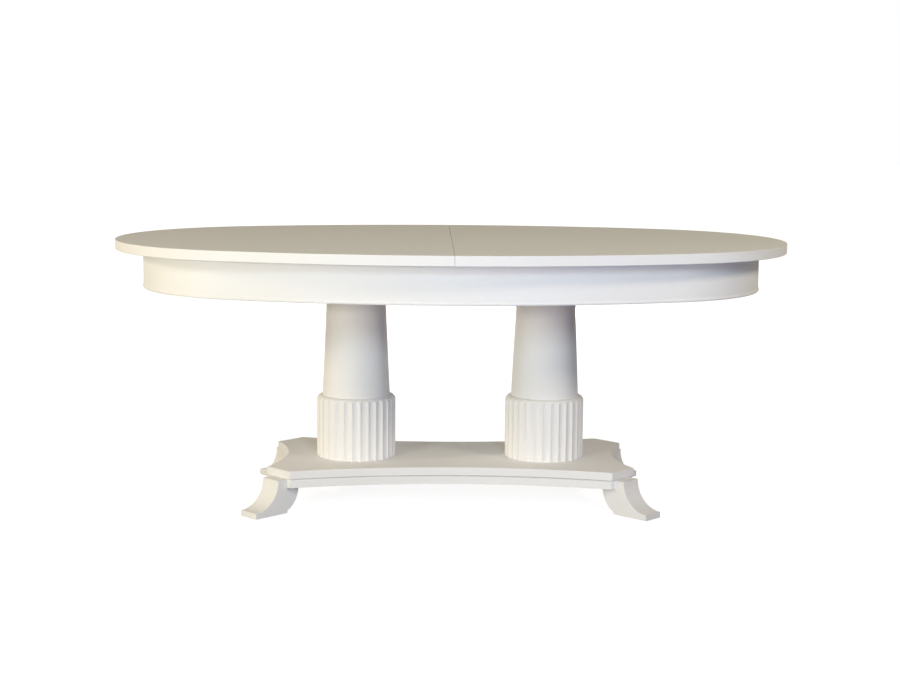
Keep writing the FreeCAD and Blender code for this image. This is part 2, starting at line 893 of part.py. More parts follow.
def splice_blocks():
    """The four blocks that join the lengths of the apron inside their meeting points."""
    inset = apron_inside + S.lap_clearance
    side_curve = side_radius - inset
    end_curve = end_radius - inset
    meeting_x, meeting_y = oval_meeting(inset)
    side_end_x = meeting_x - S.splice_reach
    side_end_y = side_y(inset, side_end_x)
    end_end_y = meeting_y - S.splice_reach
    end_end_x = end_x(inset, end_end_y)
    blocks = []
    for number, (mirrored, turn) in enumerate(
        ((False, 0), (True, 0), (False, HALF_TURN), (True, HALF_TURN)), start=1
    ):
        block = new_body(f"splice_block_{number}")
        flip = 1 if mirrored else -1
        Outline(block, "XY_Plane").draw(
            (flip * side_end_x, S.splice_thick - side_end_y),
            (flip * side_end_x, -side_end_y),
            Arc((flip * meeting_x, -meeting_y), (0, side_centre), side_curve, clockwise=not mirrored),
            Arc((flip * end_end_x, -end_end_y), (flip * end_centre, 0), end_curve, clockwise=not mirrored),
            (flip * (end_end_x - S.splice_thick), -end_end_y),
        ).pad(S.apron_depth - 2 * S.splice_margin)
        place(block, z=apron_bottom + S.splice_margin, turn=turn)
        blocks.append(block)
    group("apron_splice_blocks", blocks)


def glide_buttons():
    """Nylon buttons along the upper edge of the apron, on which the halves of the top glide."""
    middle = S.apron_overhang + S.apron_thick / 2
    spots = [
        (flip * x, -side_y(middle, x)) for x in (S.button_inner_x, S.button_outer_x) for flip in (-1, 1)
    ]
    spots += [(-end_x(middle, S.button_end_y), flip * S.button_end_y) for flip in (-1, 1)]
    buttons = []
    for flip in (1, -1):
        for x, y in spots:
            button = turned_peg(
                f"glide_button_{len(buttons) + 1}",
                S.button_radius,
                S.top_clearance - S.button_clearance,
                S.button_clearance,
            )
            place(button, flip * x, flip * y, apron_top)
            buttons.append(button)
    group("apron_glides", buttons)


def slide_bearer(name, turn):
    """A fixed bearer with a tongue for a runner on each side and a notch for its pinion."""
    bearer = piece(name)
    depth = cleat_bottom - S.cleat_clearance - bearer_top
    half_length = S.slide_bearer_length / 2
    Outline(bearer, "YZ_Plane").rectangle(-slide_bearer_half, 0, slide_bearer_half, depth).pad(
        S.slide_bearer_length, both_ways=True
    )
    tongue_low = runner_bottom - bearer_top + tongue_middle - S.tongue_height / 2
    tongue_tip = runner_face + S.tongue_depth
    inner_end = S.runner_overrun - S.peg_margin - S.peg_radius - S.stop_clearance
    for flip in (-1, 1):
        near = flip * slide_bearer_half
        far = flip * tongue_tip
        Outline(bearer, "XY_Plane", tongue_low).rectangle(
            flip * half_length, near, -flip * inner_end, far
        ).pad(S.tongue_height)
    notch = tip_radius + S.pinion_side_gap
    ceiling = runner_bottom + S.pinion_head_gap - bearer_top
    Outline(bearer, "XY_Plane").rectangle(-notch, -slide_bearer_half, notch, slide_bearer_half).pocket(
        ceiling, up=True
    )
    Outline(bearer, "XY_Plane", ceiling).circle(0, 0, S.stud_radius + S.dowel_fit).pocket(
        S.stud_hold, up=True
    )
    turned_place(bearer, 0, -S.slide_offset, bearer_top, turn)


def turned_place(thing, x, y, z, turn):
    """Places a piece at a spot of the front or left, or at the same spot after a half turn."""
    flip = -1 if turn == HALF_TURN else 1
    place(thing, flip * x, flip * y, z, turn)


def runner(name, bearer_y, turn):
    """A grooved runner of one half of the top, which slides along the front of a bearer."""
    body = piece(name)
    groove_low = tongue_middle - S.tongue_height / 2 - S.tongue_clearance
    groove_high = tongue_middle + S.tongue_height / 2 + S.tongue_clearance
    groove_floor = -(runner_face + S.tongue_depth + S.tongue_clearance)
    inner_end = travel + S.runner_overrun
    Outline(body, "YZ_Plane", inner_end).draw(
        (-runner_back, 0),
        (-runner_face, 0),
        (-runner_face, groove_low),
        (groove_floor, groove_low),
        (groove_floor, groove_high),
        (-runner_face, groove_high),
        (-runner_face, S.runner_depth),
        (-runner_back, S.runner_depth),
    ).pad(inner_end + runner_reach, down=True)
    Outline(body, "XZ_Plane", runner_back).circle(
        inner_end - S.peg_margin, tongue_middle, S.peg_radius + S.peg_fit
    ).pocket(S.runner_thick)
    turned_place(body, 0, bearer_y, runner_bottom, turn)


def stop_peg(name, bearer_y, turn):
    """The peg through a runner that meets the end of the tongue at full travel."""
    peg = turned_peg(name, S.peg_radius, S.runner_thick - S.tongue_clearance, S.peg_nose)
    flip = -1 if turn == HALF_TURN else 1
    spot_x = flip * (travel + S.runner_overrun - S.peg_margin)
    spot_y = flip * (bearer_y - runner_back)
    place(peg, spot_x, spot_y, runner_bottom + tongue_middle)
    peg.Placement = Placement(peg.Placement.Base, Rotation(Vector(1, 0, 0), -flip * QUARTER_TURN))
    return peg


def rack(name, bearer_y, turn):
    """A toothed rack under a runner, with a gap between teeth at the middle of the pinion."""
    body = piece(name)
    teeth = whole_up(travel / tooth_pitch) + 2 * S.rack_spare_teeth
    start = -S.rack_spare_teeth * tooth_pitch
    slope = tangent(S.pressure_angle)
    half_tooth = tooth_pitch / 4 - S.gear_backlash / 4
    half_tip = half_tooth - S.gear_module * slope
    half_root = half_tooth + (rack_roots - pitch_radius) * slope
    middle = start + tooth_pitch / 2
    Outline(body, "XY_Plane").rectangle(
        start, -(rack_roots + S.rack_back), start + teeth * tooth_pitch, -rack_roots
    ).pad(S.rack_depth)
    tooth = Outline(body, "XY_Plane").draw(
        (middle - half_root, -rack_roots),
        (middle + half_root, -rack_roots),
        (middle + half_tip, -rack_tips),
        (middle - half_tip, -rack_tips),
    ).pad(S.rack_depth)
    repeat(
        body, tooth, "LinearPattern", "Direction", teeth, axis="X_Axis", Length=(teeth - 1) * tooth_pitch
    )
    turned_place(body, 0, bearer_y, rack_bottom, turn)


def pinion_outline():
    """The toothed outline of a pinion, with involute flanks, and a tooth on the Y axis."""
    count = int(S.pinion_teeth.value)
    pressure = math.radians(S.pressure_angle.value)
    base_radius = pitch_radius.value * math.cos(pressure)
    root_radius = rack_tips.value - S.root_clearance.value
    step = 2 * math.pi / count
    half_tooth = step / 4 - S.gear_backlash.value / 4 / pitch_radius.value

    def involute(angle):
        """How far an involute has turned where it meets its radius at this angle."""
        return math.tan(angle) - angle

    def flank(radius):
        """Half the angle of a tooth at a radius."""
        return half_tooth + involute(pressure) - involute(math.acos(base_radius / radius))

    def at(radius, angle):
        """A point of the outline, with the angle measured from the Y axis."""
        return Vector(radius * math.sin(angle), radius * math.cos(angle), 0)

    radii = [
        base_radius + (tip_radius.value - base_radius) * n / (FLANK_POINTS - 1) for n in range(FLANK_POINTS)
    ]
    edges = []
    for tooth in range(count):
        middle = tooth * step
        rising = [at(radius, middle - flank(radius)) for radius in radii]
        falling = [at(radius, middle + flank(radius)) for radius in reversed(radii)]
        foot_before = at(root_radius, middle - flank(base_radius))
        foot_after = at(root_radius, middle + flank(base_radius))
        next_foot = at(root_radius, middle + step - flank(base_radius))
        edges.append(Part.LineSegment(foot_before, rising[0]))
        edges.append(curve_through(rising))
        edges.append(Part.Arc(rising[-1], at(tip_radius.value, middle), falling[0]))
        edges.append(curve_through(falling))
        edges.append(Part.LineSegment(falling[-1], foot_after))
        edges.append(Part.Arc(foot_after, at(root_radius, middle + step / 2), next_foot))
    return Part.Wire([edge.toShape() for edge in edges])


def curve_through(points):
    """A smooth curve through the points of a tooth flank."""
    curve = Part.BSplineCurve()
    curve.interpolate(points)
    return curve


def pinion(name, y):
    """A pinion that meshes with the racks on both sides of its bearer."""
    blank = Part.Face(pinion_outline()).extrude(Vector(0, 0, S.rack_depth.value))
    bore = Part.makeCylinder(S.stud_radius.value + S.pinion_bore_clearance.value, S.rack_depth.value)
    gear = doc.addObject("Part::Feature", name)
    gear.Label = name
    gear.Shape = blank.cut(bore)
    place(gear, 0, y, rack_bottom)
    PIECES.append(gear)


def pinion_bracket(name, turn):
    """A steel strap under a slide bearer, with the collar and stud that carry a pinion."""
    bracket = new_body(name)
    half_length = S.strap_length / 2
    Outline(bracket, "XY_Plane").rectangle(
        -half_length, -slide_bearer_half, half_length, slide_bearer_half
    ).pad(S.strap_thick, down=True)
    Outline(bracket, "XY_Plane").circle(0, 0, S.stud_collar).pad(S.rack_clearance - S.pinion_seat_gap)
    Outline(bracket, "XY_Plane").circle(0, 0, S.stud_radius).pad(
        runner_bottom + S.pinion_head_gap + S.stud_hold - bearer_top
    )
    turned_place(bracket, 0, -S.slide_offset, bearer_top, turn)
    return bracket


def base_slides():
    """The fixed slide bearers with their pinions and pinion brackets."""
    for side, turn in (("front", 0), ("back", HALF_TURN)):
        slide_bearer(f"slide_bearer_{side}", turn)
    pinion("pinion_front", -S.slide_offset)
    pinion("pinion_back", S.slide_offset)
    group(
        "pinion_brackets",
        [pinion_bracket("pinion_bracket_front", 0), pinion_bracket("pinion_bracket_back", HALF_TURN)],
    )


def top_half(side, turn):
    """One half of the oval top, with holes in its seam for its own pins and the other half's."""
    half = piece(f"top_half_{side}")
    seam = S.seam_gap / 2
    seam_y = side_y(as_size(0), seam)
    meeting_x, meeting_y = oval_meeting(as_size(0))
    Outline(half, "XY_Plane").draw(
        (-seam, seam_y),
        Arc((-meeting_x, meeting_y), (0, -side_centre), side_radius),
        Arc((-meeting_x, -meeting_y), (-end_centre, 0), end_radius),
        Arc((-seam, -seam_y), (0, side_centre), side_radius),
    ).pad(S.top_thick)
    ease(half, S.top_edge_round, lambda edge: isinstance(edge.Curve, Part.Circle))
    ease(half, S.seam_ease, lambda edge: level(edge, S.top_thick) and edge.BoundBox.XMin > -2 * seam.value)
    own = Outline(half, "YZ_Plane", -seam)
    others = Outline(half, "YZ_Plane", -seam)
    for y in pin_places:
        own.circle(-y, S.top_thick / 2, S.pin_radius + S.pin_fit)
        others.circle(y, S.top_thick / 2, S.pin_radius + S.socket_clearance)
    own.pocket(S.pin_hold)
    others.pocket(S.pin_reach + S.seam_gap + S.socket_clearance)
    place(half, z=underside, turn=turn)


def seam_pins(side, turn):
    """The two pins in one half's seam that enter the other half."""
    flip = -1 if turn == HALF_TURN else 1
    length = S.pin_hold + S.pin_reach
    pins = []
    for y in pin_places:
        pin = turned_peg(f"seam_pin_{side}_{len(pins) + 1}", S.pin_radius, length, S.pin_nose)
        place(pin, flip * -(S.seam_gap / 2 + S.pin_hold), flip * -y, underside + S.top_thick / 2)
        pin.Placement = Placement(pin.Placement.Base, Rotation(Vector(0, 1, 0), flip * QUARTER_TURN))
        pins.append(pin)
    group(f"seam_pins_{side}", pins)


def cleat(name, x, turn):
    """A batten under one half of the top, cut away over the other half's runners."""
    body = piece(name)
    room = S.cleat_clearance
    front_low = -S.slide_offset + runner_face - room
    front_high = -S.slide_offset + runner_back + room
    back_low = S.slide_offset + runner_face - room
    back_high = S.slide_offset + runner_back + room
    Outline(body, "YZ_Plane").draw(
        (-cleat_end, 0),
        (front_low, 0),
        (front_low, room),
        (front_high, room),
        (front_high, 0),
        (back_low, 0),
        (back_low, room),
        (back_high, room),
        (back_high, 0),
        (cleat_end, 0),
        (cleat_end, S.cleat_thick),
        (-cleat_end, S.cleat_thick),
    ).pad(S.cleat_width, both_ways=True)
    turned_place(body, -x, as_size(0), cleat_bottom, turn)


def lock_plate(name, x, length, turn):
    """A plate under one half of the top, with a riveted stud and head that hold a lever or a hook."""
    plate = new_body(f"{name}_plate")
    half_length = length / 2
    half_across = S.lock_plate_width / 2
    rivet_hole = S.lock_stud_radius + S.rivet_fit
    Outline(plate, "XY_Plane").rectangle(-half_length, -half_across, half_length, half_across).pad(
        S.lock_plate_thick
    )
    Outline(plate, "XY_Plane").circle(0, 0, rivet_hole).pocket(S.lock_plate_thick, up=True)
    head = ring(f"{name}_head", S.lock_head_radius, rivet_hole, S.lock_head_thick)
    stud_length = lock_stud_end + S.lock_head_thick
    stud = new_body(f"{name}_stud")
    Outline(stud, "XY_Plane").circle(0, 0, S.lock_stud_radius).pad(stud_length)
    heights = {
        plate: underside - S.lock_plate_thick,
        head: underside - stud_length,
        stud: underside - stud_length,
    }
    for member, z in heights.items():
        turned_place(member, x, -lock_offset, z, turn)
    group(name, list(heights))


def lock_lever(name, turn):
    """The lever of a table lock: a hook that swings round the keeper's stud, a hub and a tab."""
    lever = piece(name)
    room = S.lock_stud_radius + S.hook_clearance
    outer = S.lock_arm + room
    inner = S.lock_arm - room
    front = S.lever_front_width
    mouth_outer = (leg(outer, front), front)
    mouth_inner = (leg(inner, front), front)
    slot_end = (S.lock_arm, -S.hook_overrun)
    hook_end = outer + S.hook_wall
    Outline(lever, "XY_Plane").draw(
        (-S.lever_tail, -S.lever_back_width),
        (hook_end, -S.lever_back_width),
        (hook_end, front),
        mouth_outer,
        Arc((outer, 0), (0, 0), outer, clockwise=True),
        (outer, -S.hook_overrun),
        Arc((S.lock_arm, -room - S.hook_overrun), slot_end, room, clockwise=True),
        Arc((inner, -S.hook_overrun), slot_end, room, clockwise=True),
        (inner, 0),
        Arc(mouth_inner, (0, 0), inner),
        (-S.lever_tail, front),
    ).pad(S.lever_thick)
    Outline(lever, "XY_Plane").circle(0, 0, S.lever_hub_radius).pad(S.lever_thick)
    Outline(lever, "XY_Plane").rectangle(
        -S.lever_tail, -S.lever_back_width, S.tab_thick - S.lever_tail, front
    ).pad(S.tab_drop, down=True)
    Outline(lever, "XY_Plane").circle(0, 0, S.lock_stud_radius + S.lock_stud_clearance).pocket(
        S.lever_thick, up=True
    )
    turned_place(lever, -S.lock_pivot_x, -lock_offset, underside - lever_bottom, turn)
    swung = Rotation(Vector(0, 0, 1), turn - QUARTER_TURN)
    lever.Placement = Placement(lever.Placement.Base, swung)


def moving_half(side, turn):
    """Everything that slides with one half of the top."""
    top_half(side, turn)
    seam_pins(side, turn)
    outer = runner_reach - S.cleat_width / 2 - S.cleat_end_margin
    places = {"inner": S.cleat_inner_x, "middle": (S.cleat_inner_x + outer) / 2, "outer": outer}
    for name, x in places.items():
        cleat(f"cleat_{side}_{name}", x, turn)
    pegs = []
    for end, bearer_y in (("outside", -S.slide_offset), ("inside", S.slide_offset)):
        runner(f"runner_{side}_{end}", bearer_y, turn)
        rack(f"rack_{side}_{end}", bearer_y, turn)
        pegs.append(stop_peg(f"stop_peg_{side}_{end}", bearer_y, turn))
    group(f"stop_pegs_{side}", pegs)


def table_lock(end, turn):
    """A lock across the seam: a plate and lever on one half, and a keeper on the other."""
    lock_plate(f"lock_plate_{end}", -S.lock_pivot_x, S.lock_plate_length, turn)
    lock_lever(f"lock_lever_{end}", turn)
    lock_plate(f"lock_keeper_{end}", S.lock_arm - S.lock_pivot_x, S.keeper_length, turn)


def check():
    """Stops if anything failed to compute or gave no sound solid."""
    doc.recompute()
    failed = [item.Name for item in doc.Objects if {"Invalid", "Error"} & set(item.State)]
    unsound = [item.Label for item in PIECES if item.Shape.isNull() or not item.Shape.isValid()]
    empty = [item.Label for item in PIECES if not item.Shape.Solids]
    if failed or unsound or empty:
        raise RuntimeError(f"failed: {failed}, unsound: {unsound}, no solid: {empty}")


def write():
    """Writes each piece to a file under its own name."""
    os.makedirs("parts", exist_ok=True)
    for item in PIECES:
        item.Shape.exportStep(f"parts/{item.Label}.step")


plinth()
feet()
for column_side, axis_x, flute_turn in (
    ("left", -column_x, S.flute_turn_left),
    ("right", column_x, S.flute_turn_right),
):
    fluted_drum(f"fluted_drum_{column_side}", axis_x, flute_turn)
    column_shaft(f"column_shaft_{column_side}", axis_x)
tie_rods()
bearers()
apron()
splice_blocks()
glide_buttons()
base_slides()
for half_side, half_turn in DRAWN_AND_TURNED.items():
    moving_half(half_side, half_turn)
table_lock("front", 0)
table_lock("back", HALF_TURN)
check()
write()
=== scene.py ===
"""Looks of an oval double pedestal dining table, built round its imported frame.

Lengths are metres in the frame's own axes: +X runs along the table, +Y to the back and +Z up.
The frame holds every piece of the table at its place. This script gives each of them its finish,
eases the arrises of the joinery, adds the small fasteners and sets up the studio.
"""

import json
import logging
import math
from contextlib import contextmanager
from dataclasses import dataclass
from enum import Enum, StrEnum
from typing import Callable, Iterable, Iterator, Sequence

import bmesh
import bpy
from mathutils import Matrix, Vector

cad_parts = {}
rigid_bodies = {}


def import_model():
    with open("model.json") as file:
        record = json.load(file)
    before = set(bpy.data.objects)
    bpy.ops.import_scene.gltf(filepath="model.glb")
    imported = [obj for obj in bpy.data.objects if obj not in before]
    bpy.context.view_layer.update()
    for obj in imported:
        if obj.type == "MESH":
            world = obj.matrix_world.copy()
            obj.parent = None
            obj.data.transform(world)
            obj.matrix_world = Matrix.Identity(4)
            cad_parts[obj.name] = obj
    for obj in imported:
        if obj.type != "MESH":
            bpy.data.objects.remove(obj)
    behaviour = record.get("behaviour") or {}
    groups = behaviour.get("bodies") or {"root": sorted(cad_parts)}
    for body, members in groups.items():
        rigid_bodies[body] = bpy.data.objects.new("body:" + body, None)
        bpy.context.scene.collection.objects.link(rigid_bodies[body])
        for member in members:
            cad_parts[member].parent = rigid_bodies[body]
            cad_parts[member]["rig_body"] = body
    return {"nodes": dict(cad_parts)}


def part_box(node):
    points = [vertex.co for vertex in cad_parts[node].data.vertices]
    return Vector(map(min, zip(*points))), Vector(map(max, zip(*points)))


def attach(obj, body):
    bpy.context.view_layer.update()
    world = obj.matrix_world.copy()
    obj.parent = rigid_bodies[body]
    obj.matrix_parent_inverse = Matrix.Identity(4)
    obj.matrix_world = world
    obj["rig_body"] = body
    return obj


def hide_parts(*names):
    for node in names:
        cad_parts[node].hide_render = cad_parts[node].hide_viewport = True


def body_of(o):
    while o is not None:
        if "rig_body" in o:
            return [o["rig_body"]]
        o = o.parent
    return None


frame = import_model()

Pair = tuple[float, float]
Triple = tuple[float, float, float]
Colour = Triple
Socket = bpy.types.NodeSocket
Picked = bmesh.types.BMVert | bmesh.types.BMEdge | bmesh.types.BMFace

MM = 0.001
DOWN = Vector((0.0, 0.0, -1.0))
BOTH_WAYS = (-1, 1)
UNSCALED = (1.0, 1.0, 1.0)
WHITE = (1.0, 1.0, 1.0)
BLACK = (0.0, 0.0, 0.0)

# Points nearer than this are one point, and edges flatter than this are no edge.
WELD = 0.005 * MM
FLAT = math.radians(0.5)
# An edge sharper than this is an arris, eased in so many steps.
ARRIS = math.radians(35.0)
EASING_STEPS = 2
# A face whose normal rises more than this looks up.
UPWARD = 0.5

# Places of the colour sockets on a mix node.
MIX_A, MIX_B, MIX_RESULT = 6, 7, 2

logging.basicConfig(level=logging.INFO, format="%(name)s: %(message)s")
log = logging.getLogger("dining_table")


class Side(StrEnum):
    """The halves of the table along its length."""

    LEFT = "left"
    RIGHT = "right"


class Row(StrEnum):
    """The rows of slides and locks, one near each long side."""

    FRONT = "front"
    BACK = "back"


class Corner(StrEnum):
    """The corners that the feet point to."""

    FRONT_LEFT = "front_left"
    FRONT_RIGHT = "front_right"
    BACK_LEFT = "back_left"
    BACK_RIGHT = "back_right"


class ApronLength(StrEnum):
    """The bent lengths that make up the apron."""

    FRONT = "front"
    BACK = "back"
    LEFT_END = "left_end"
    RIGHT_END = "right_end"


class CleatPlace(StrEnum):
    """The cleats under one half of the top, from the seam outward."""

    INNER = "inner"
    MIDDLE = "middle"
    OUTER = "outer"


class RunnerPlace(StrEnum):
    """The runners under one half of the top, by the face of the bearer that they run on."""

    OUTSIDE = "outside"
    INSIDE = "inside"


class Element(Enum):
    """What an edit-mode step picks from a mesh."""

    POINT = "VERT"
    EDGE = "EDGE"
    FACE = "FACE"

    def of(self, mesh: bmesh.types.BMesh) -> Iterable[Picked]:
        """Returns the mesh's elements of this kind."""
        return {Element.POINT: mesh.verts, Element.EDGE: mesh.edges, Element.FACE: mesh.faces}[self]


class Grain(Enum):
    """The axis that the fibres of a board, or the brush strokes on it, run along."""

    LENGTHWISE = 0
    CROSSWISE = 1
    UPRIGHT = 2

    def stretched(self, along: float, across: float) -> Triple:
        """Returns a pattern's repeats per metre on X, Y and Z, drawn out along the grain."""
        return tuple(along if axis == self.value else across for axis in range(3))


def opaque(colour: Colour) -> tuple[float, float, float, float]:
    """Returns a colour with full alpha."""
    return (*colour, 1.0)


class Shader:
    """A material's node tree, put together one node at a time."""

    def __init__(self, name: str) -> None:
        """Starts a material with one principled surface.

        Args:
            name: The material's name.
        """
        self.material = bpy.data.materials.new(name)
        self.material.use_nodes = True
        self.tree = self.material.node_tree
        self.surface = self.tree.nodes["Principled BSDF"]

    def node(self, kind: str, **settings: object) -> bpy.types.Node:
        """Adds a node and sets its options and its input sockets.

        Args:
            kind: The node's type, without its ShaderNode prefix.
            settings: Options of the node by name, or sockets by name with spaces as underscores.

        Returns:
            The new node.
        """
        node = self.tree.nodes.new(f"ShaderNode{kind}")
        for name, value in settings.items():
            socket = node.inputs.get(name.replace("_", " ").title())
            if socket is None:
                setattr(node, name, value)
            elif isinstance(value, Socket):
                self.tree.links.new(value, socket)
            else:
                socket.default_value = value
        return node

    def set(self, **values: object) -> None:
        """Sets or links sockets of the principled surface.

        Args:
            values: Plain values or output sockets, by socket name with spaces as underscores.
        """
        for name, value in values.items():
            words = name.replace("_", " ").title().replace("Ior", "IOR")
            socket = self.surface.inputs[words]
            if isinstance(value, Socket):
                self.tree.links.new(value, socket)
            else:
                socket.default_value = value

    def place(self, scale: Triple) -> Socket:
        """Returns the piece's own coordinates, scaled.

        Args:
            scale: Repeats per metre on each axis.

        Returns:
            The vector output.
        """
        coordinates = self.node("TexCoord").outputs["Object"]
        mapping = self.node("Mapping", vector=coordinates)
        mapping.inputs["Scale"].default_value = scale
        return mapping.outputs["Vector"]

    def noise(self, vector: Socket, detail: float = 2.0, distortion: float = 0.0) -> Socket:
        """Returns a soft grey noise with one repeat per unit of its vector."""
        node = self.node("TexNoise", vector=vector, scale=1.0, detail=detail, distortion=distortion)
        return node.outputs[0]

    def ramp(self, grey: Socket, stops: Sequence[float], colours: Sequence[Colour]) -> Socket:
        """Returns a grey value turned into colours.

        Args:
            grey: The value to turn.
            stops: Places from 0 to 1, in order.
            colours: Their colours.

        Returns:
            The colour output.
        """
        node = self.node("ValToRGB", fac=grey)
        points = node.color_ramp.elements
        while len(points) < len(stops):
            points.new(1.0)
        for point, stop, colour in zip(points, stops, colours):
            point.position = stop
            point.color = opaque(colour)
        return node.outputs["Color"]

    def span(self, grey: Socket, low: float, high: float) -> Socket:
        """Returns a grey value spread between two numbers."""
        node = self.node("MapRange", value=grey, to_min=low, to_max=high)
        return node.outputs["Result"]

    def bump(self, height: Socket, depth: float, below: Socket | None = None) -> Socket:
        """Returns a normal that stands for a fine relief.

        Args:
            height: The relief, from 0 to 1.
            depth: Its real depth.
            below: The normal of a coarser relief under it.

        Returns:
            The normal output.
        """
        node = self.node("Bump", height=height, strength=1.0, distance=depth)
        if below is not None:
            self.tree.links.new(below, node.inputs["Normal"])
        return node.outputs["Normal"]


@dataclass(frozen=True)
class PaintFinish:
    """Satin furniture paint, sprayed over primed wood and rubbed down along the grain."""

    name: str
    grain: Grain
    slot: str = "painted_wood"
    light: Colour = (0.86, 0.85, 0.825)
    dark: Colour = (0.835, 0.822, 0.79)
    gloss: Pair = (0.45, 0.60)
    sheen: float = 0.06
    cloud: float = 2.2
    cloud_stops: Pair = (0.3, 0.7)
    stroke: Pair = (5.0, 260.0)
    stroke_depth: float = 0.03 * MM
    peel: float = 520.0
    peel_depth: float = 0.02 * MM

    def material(self) -> bpy.types.Material:
        """Makes the paint's material.

        Returns:
            The material.
        """
        shader = Shader(self.name)
        cloud = shader.noise(shader.place((self.cloud,) * 3), detail=4.0)
        strokes = shader.noise(shader.place(self.grain.stretched(*self.stroke)), detail=3.0)
        peel = shader.noise(shader.place((self.peel,) * 3))
        relief = shader.bump(peel, self.peel_depth, shader.bump(strokes, self.stroke_depth))
        shader.set(
            base_color=shader.ramp(cloud, self.cloud_stops, (self.dark, self.light)),
            roughness=shader.span(strokes, *self.gloss),
            specular_ior_level=self.sheen,
            normal=relief,
        )
        return shader.material


@dataclass(frozen=True)
class WoodFinish:
    """Bare or waxed wood with growth rings, pores and a slow change of colour along the board."""

    name: str
    grain: Grain
    slot: str
    pale: Colour
    deep: Colour
    pore: Colour
    rings: Pair = (0.9, 55.0)
    ring_pull: float = 1.4
    ring_stops: Triple = (0.32, 0.5, 0.68)
    gloss: Pair = (0.42, 0.62)
    pores: Pair = (9.0, 700.0)
    pore_stops: Pair = (0.28, 0.4)
    pore_depth: float = 0.08 * MM

    def material(self) -> bpy.types.Material:
        """Makes the wood's material.

        Returns:
            The material.
        """
        shader = Shader(self.name)
        rings = shader.noise(
            shader.place(self.grain.stretched(*self.rings)), detail=3.0, distortion=self.ring_pull
        )
        pores = shader.noise(shader.place(self.grain.stretched(*self.pores)), detail=2.0)
        between = tuple((a + b) / 2 for a, b in zip(self.pale, self.deep))
        tone = shader.ramp(rings, self.ring_stops, (self.pale, between, self.deep))
        holes = shader.ramp(pores, self.pore_stops, (WHITE, BLACK))
        mixed = shader.node("Mix", data_type="RGBA")
        shader.tree.links.new(holes, mixed.inputs["Factor"])
        shader.tree.links.new(tone, mixed.inputs[MIX_A])
        mixed.inputs[MIX_B].default_value = opaque(self.pore)
        shader.set(
            base_color=mixed.outputs[MIX_RESULT],
            roughness=shader.span(rings, *self.gloss),
            normal=shader.bump(pores, self.pore_depth),
        )
        return shader.material


@dataclass(frozen=True)
class MetalFinish:
    """Plated or turned metal with fine drawn lines and slow stains."""

    name: str
    slot: str
    clean: Colour
    stained: Colour
    gloss: Pair
    stain: float = 60.0
    stain_stops: Pair = (0.35, 0.62)
    lines: Pair = (40.0, 2600.0)
    line_depth: float = 0.01 * MM

    def material(self) -> bpy.types.Material:
        """Makes the metal's material.

        Returns:
            The material.
        """
        shader = Shader(self.name)
        stain = shader.noise(shader.place((self.stain,) * 3), detail=5.0)
        lines = shader.noise(shader.place(Grain.LENGTHWISE.stretched(*self.lines)))
        shader.set(
            base_color=shader.ramp(stain, self.stain_stops, (self.stained, self.clean)),
            metallic=1.0,
            roughness=shader.span(stain, *self.gloss),
            normal=shader.bump(lines, self.line_depth),
        )
        return shader.material


@dataclass(frozen=True)
class NylonFinish:
    """Moulded nylon, slightly waxy, with a fine sparked surface."""

    name: str
    slot: str = "nylon"
    light: Colour = (0.80, 0.78, 0.72)
    dark: Colour = (0.74, 0.71, 0.63)
    gloss: Pair = (0.38, 0.55)
    cloud: float = 90.0
    cloud_stops: Pair = (0.3, 0.7)
    spark: float = 2200.0
    spark_depth: float = 0.02 * MM
    wax: float = 0.15
    wax_reach: Triple = (4.0 * MM, 3.0 * MM, 2.0 * MM)

    def material(self) -> bpy.types.Material:
        """Makes the nylon's material.

        Returns:
            The material.
        """
        shader = Shader(self.name)
        cloud = shader.noise(shader.place((self.cloud,) * 3), detail=3.0)
        spark = shader.noise(shader.place((self.spark,) * 3))
        shader.set(
            base_color=shader.ramp(cloud, self.cloud_stops, (self.dark, self.light)),
            roughness=shader.span(spark, *self.gloss),
            subsurface_weight=self.wax,
            subsurface_radius=self.wax_reach,
            normal=shader.bump(spark, self.spark_depth),
        )
        return shader.material


POPLAR = {
    "slot": "bearer_wood",
    "pale": (0.66, 0.50, 0.31),
    "deep": (0.50, 0.34, 0.18),
    "pore": (0.36, 0.23, 0.12),
}
BEECH = {
    "slot": "slide_wood",
    "pale": (0.62, 0.40, 0.23),
    "deep": (0.48, 0.28, 0.14),
    "pore": (0.26, 0.13, 0.06),
}


class Finish(Enum):
    """Every finish on the table."""

    PAINT_ALONG = PaintFinish("paint_along", Grain.LENGTHWISE)
    PAINT_UPRIGHT = PaintFinish("paint_upright", Grain.UPRIGHT)
    POPLAR_ALONG = WoodFinish("poplar_along", Grain.LENGTHWISE, **POPLAR)
    POPLAR_ACROSS = WoodFinish("poplar_across", Grain.CROSSWISE, **POPLAR)
    POPLAR_UPRIGHT = WoodFinish("poplar_upright", Grain.UPRIGHT, **POPLAR)
    BEECH_ALONG = WoodFinish("beech_along", Grain.LENGTHWISE, **BEECH)
    BEECH_ACROSS = WoodFinish("beech_across", Grain.CROSSWISE, **BEECH)
    ZINC = MetalFinish(
        "zinc_plate",
        slot="plated_steel",
        clean=(0.66, 0.67, 0.67),
        stained=(0.52, 0.52, 0.49),
        gloss=(0.28, 0.46),
    )
    BRASS = MetalFinish(
        "turned_brass",
        slot="brass",
        clean=(0.74, 0.55, 0.27),
        stained=(0.60, 0.43, 0.19),
        gloss=(0.22, 0.38),
    )
    NYLON = NylonFinish("nylon")

    def material(self) -> bpy.types.Material:
        """Returns the finish's material, made at its first use."""
        return bpy.data.materials.get(self.value.name) or self.value.material()

    @property
    def slot(self) -> str:
        """Returns the record's slot that the finish stands for."""
        return self.value.slot


def dress(piece: bpy.types.Object, finish: Finish) -> None:
    """Gives a piece one finish all over."""
    piece.data.materials.clear()
    piece.data.materials.append(finish.material())


